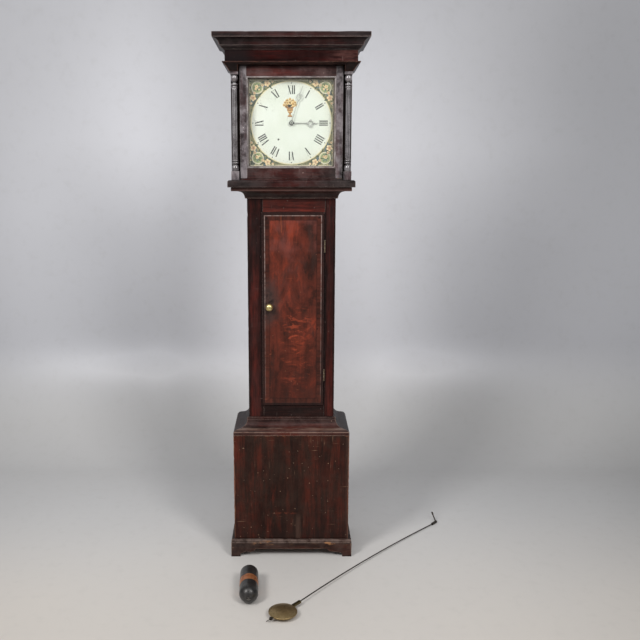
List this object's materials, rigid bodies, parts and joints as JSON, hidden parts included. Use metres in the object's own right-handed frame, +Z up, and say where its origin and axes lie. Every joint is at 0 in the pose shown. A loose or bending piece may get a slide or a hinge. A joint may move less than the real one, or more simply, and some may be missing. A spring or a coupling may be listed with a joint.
{
  "type": "longcase clock",
  "caption": "Tall weight-driven longcase clock: square painted dial in a columned hood, trunk door with brass knob, bracket-foot base, with its pendulum and weight laid in front.",
  "frame": {"origin": "centre of the base box's footprint on the floor", "axes": "+Z up, the front of the clock faces -Y, +X to the right of somebody who looks at the dial"},
  "size_m": [0.9048, 0.8153, 1.961],
  "materials": {
    "stained_wood": "dark red-brown stain under worn varnish",
    "door_wood": "figured red-brown wood under worn varnish",
    "raw_wood": "unfinished aged softwood",
    "brass": "aged polished brass",
    "bell_metal": "turned bronze, dull",
    "steel": "aged steel",
    "dark_steel": "blackened steel",
    "painted_dial": "painted iron, aged cream enamel",
    "door_glass": "clear old glass",
    "cast_iron": "rough blackened casting",
    "copper_band": "tarnished copper sheet"
  },
  "bodies": {
    "case": {"backboard": "raw_wood", "trunk_sides": "stained_wood", "base_sides": "stained_wood", "trunk_front_frame": "stained_wood", "base_front_panel": "stained_wood", "base_bottom_board": "raw_wood", "base_top_moulding": "stained_wood", "waist_moulding": "stained_wood", "plinth_skirt": "stained_wood", "seatboard": "raw_wood", "trunk_hinge_plates": "brass", "front_plate": "brass", "back_plate": "brass", "plate_pillars": "brass", "dial_plate": "painted_dial", "dial_feet": "brass", "motion_stud": "steel", "back_cock": "brass", "bell": "bell_metal", "bell_stand": "steel"},
    "trunk_door": {"trunk_door_panel": "door_wood", "trunk_door_hinge_leaves": "brass"},
    "door_latch": {"door_knob": "brass", "latch_tongue": "steel"},
    "hood": {"hood_sides": "stained_wood", "hood_frame": "stained_wood", "hood_top_board": "raw_wood", "frieze": "stained_wood", "bed_moulding": "stained_wood", "cornice": "stained_wood", "hood_base_moulding": "stained_wood", "hood_columns": "stained_wood", "dial_mask": "stained_wood"},
    "hood_door": {"hood_door_frame": "stained_wood", "hood_door_glass": "door_glass", "hood_door_pivots": "brass"},
    "minute_work": {"cannon_wheel": "brass", "minute_hand": "steel", "hand_collet": "dark_steel"},
    "motion_drive": {"motion_drive_wheel": "brass"},
    "hour_work": {"hour_wheel": "brass", "hour_hand": "steel"},
    "great_arbor": {"great_wheel": "brass"},
    "second_arbor": {"second_wheel": "brass"},
    "escape_arbor": {"escape_wheel": "brass"},
    "pallets": {"anchor_and_crutch": "steel"},
    "strike_great_arbor": {"strike_great_wheel": "brass"},
    "hoop_arbor": {"hoop_wheel": "brass"},
    "warning_arbor": {"warning_wheel": "brass"},
    "fly_arbor": {"fly": "brass"},
    "count_wheel_body": {"count_wheel": "brass"},
    "hammer_body": {"hammer": "steel"},
    "pendulum": {"pendulum_bob": "brass", "bob_ferrule": "steel", "pendulum_rod": "steel", "suspension_spring": "steel"},
    "rating_nut_body": {"rating_nut": "steel"},
    "weight": {"weight_body": "cast_iron", "weight_band": "copper_band", "weight_eye": "steel"}
  },
  "joints": [
    {"name": "trunk_door_swing", "type": "hinge", "parent": "case", "child": "trunk_door", "pos_m": [0.125, -0.0752, 0.986], "axis": [0, 0, 1], "range_deg": [0, 150]},
    {"name": "latch_turn", "type": "hinge", "parent": "trunk_door", "child": "door_latch", "pos_m": [-0.0834, -0.074, 0.986], "axis": [0, 1, 0], "range_deg": [-90, 0]},
    {"name": "hood_slide", "type": "slide", "parent": "case", "child": "hood", "axis": [0, -1, 0], "range_m": [0, 0.27]},
    {"name": "hood_door_swing", "type": "hinge", "parent": "hood", "child": "hood_door", "pos_m": [0.18, -0.114, 1.661], "axis": [0, 0, 1], "range_deg": [0, 95]},
    {"name": "minute_hand_turn", "type": "hinge", "parent": "case", "child": "minute_work", "pos_m": [0, 0, 1.661], "axis": [0, 1, 0], "continuous": true},
    {"name": "drive_wheel_turn", "type": "hinge", "parent": "case", "child": "motion_drive", "pos_m": [0.04202, 0, 1.63779], "axis": [0, 1, 0], "continuous": true},
    {"name": "hour_hand_turn", "type": "hinge", "parent": "case", "child": "hour_work", "pos_m": [0, 0, 1.661], "axis": [0, 1, 0], "continuous": true},
    {"name": "second_wheel_turn", "type": "hinge", "parent": "case", "child": "second_arbor", "pos_m": [0.026, 0, 1.67335], "axis": [0, 1, 0], "continuous": true},
    {"name": "great_wheel_turn", "type": "hinge", "parent": "case", "child": "great_arbor", "pos_m": [0.04202, 0, 1.63779], "axis": [0, 1, 0], "continuous": true},
    {"name": "escape_wheel_turn", "type": "hinge", "parent": "case", "child": "escape_arbor", "pos_m": [0, 0, 1.6906], "axis": [0, 1, 0], "continuous": true},
    {"name": "warning_wheel_turn", "type": "hinge", "parent": "case", "child": "warning_arbor", "pos_m": [-0.0467, 0, 1.69034], "axis": [0, 1, 0], "continuous": true},
    {"name": "hoop_wheel_turn", "type": "hinge", "parent": "case", "child": "hoop_arbor", "pos_m": [-0.03, 0, 1.67363], "axis": [0, 1, 0], "continuous": true},
    {"name": "fly_turn", "type": "hinge", "parent": "case", "child": "fly_arbor", "pos_m": [-0.03334, 0, 1.70371], "axis": [0, 1, 0], "continuous": true},
    {"name": "strike_great_turn", "type": "hinge", "parent": "case", "child": "strike_great_arbor", "pos_m": [-0.04202, 0, 1.63779], "axis": [0, 1, 0], "continuous": true},
    {"name": "count_wheel_turn", "type": "hinge", "parent": "case", "child": "count_wheel_body", "pos_m": [-0.02802, 0, 1.61355], "axis": [0, 1, 0], "continuous": true},
    {"name": "pallet_rock", "type": "hinge", "parent": "case", "child": "pallets", "pos_m": [0, 0, 1.7186], "axis": [0, 1, 0], "range_deg": [-3.5, 3.5]},
    {"name": "hammer_lift", "type": "hinge", "parent": "case", "child": "hammer_body", "pos_m": [-0.073, 0, 1.664], "axis": [0, 1, 0], "range_deg": [-12, 0], "stiffness_Nm_per_rad": 0.05},
    {"name": "pendulum_lift", "type": "slide", "parent": "case", "child": "pendulum", "axis": [0, 0, 1], "range_m": [0, 0.3]},
    {"name": "rating_nut_turn", "type": "hinge", "parent": "pendulum", "child": "rating_nut_body", "pos_m": [-0.06819, -0.60054, 0.0145], "axis": [0.6716, 0.7409, 0], "range_deg": [-180, 180]},
    {"name": "weight_lift", "type": "slide", "parent": "case", "child": "weight", "axis": [0, 0, 1], "range_m": [0, 0.3]}
  ],
  "couplings": [
    {"joint": "drive_wheel_turn", "follows": "minute_hand_turn", "ratio": -0.33333},
    {"joint": "hour_hand_turn", "follows": "minute_hand_turn", "ratio": 0.083333},
    {"joint": "great_wheel_turn", "follows": "second_wheel_turn", "ratio": -0.083333},
    {"joint": "escape_wheel_turn", "follows": "second_wheel_turn", "ratio": -15},
    {"joint": "hoop_wheel_turn", "follows": "warning_wheel_turn", "ratio": -0.125},
    {"joint": "fly_turn", "follows": "warning_wheel_turn", "ratio": -8},
    {"joint": "strike_great_turn", "follows": "warning_wheel_turn", "ratio": 0.0096154},
    {"joint": "count_wheel_turn", "follows": "warning_wheel_turn", "ratio": -0.0016026}
  ]
}
